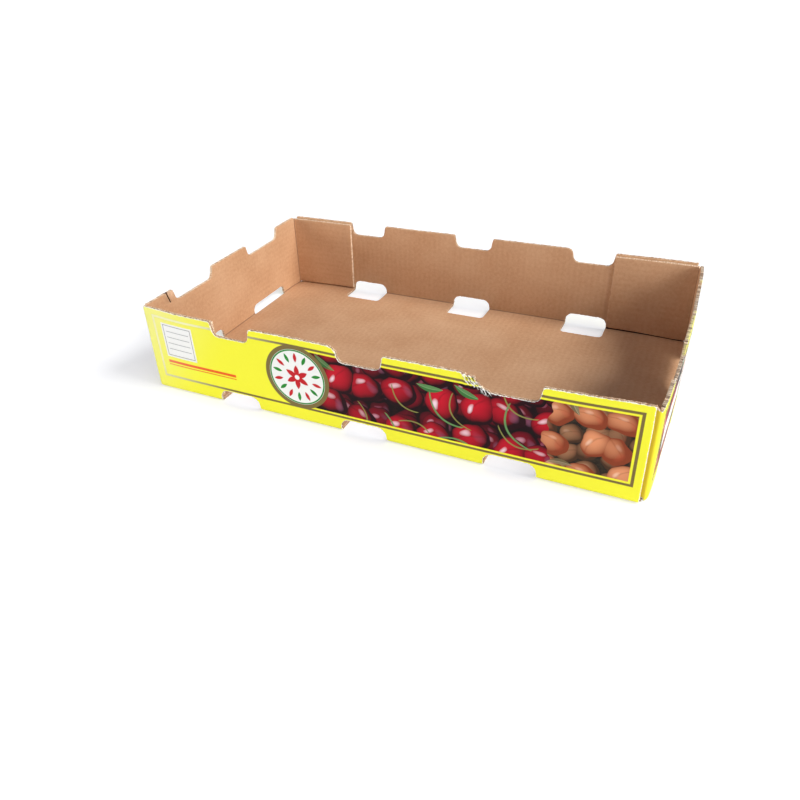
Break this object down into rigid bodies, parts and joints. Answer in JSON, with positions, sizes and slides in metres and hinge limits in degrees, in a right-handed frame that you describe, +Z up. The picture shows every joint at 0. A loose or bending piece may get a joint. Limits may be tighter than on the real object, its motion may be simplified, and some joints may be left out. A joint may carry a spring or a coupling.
{
  "type": "cardboard tray box",
  "caption": "Shallow rectangular tray folded from one sheet of corrugated cardboard, with notched walls, slots along its folds and glued corner flaps.",
  "frame": {"origin": "middle of the underside of the base", "axes": "+X along the long side, +Y across the tray towards the back wall, +Z up out of the open top"},
  "size_m": [0.5, 0.3, 0.092],
  "materials": {
    "kraft_board": "matt kraft liner inside, printed yellow outside"
  },
  "bodies": {
    "root": {"tray": "kraft_board"}
  },
  "joints": []
}
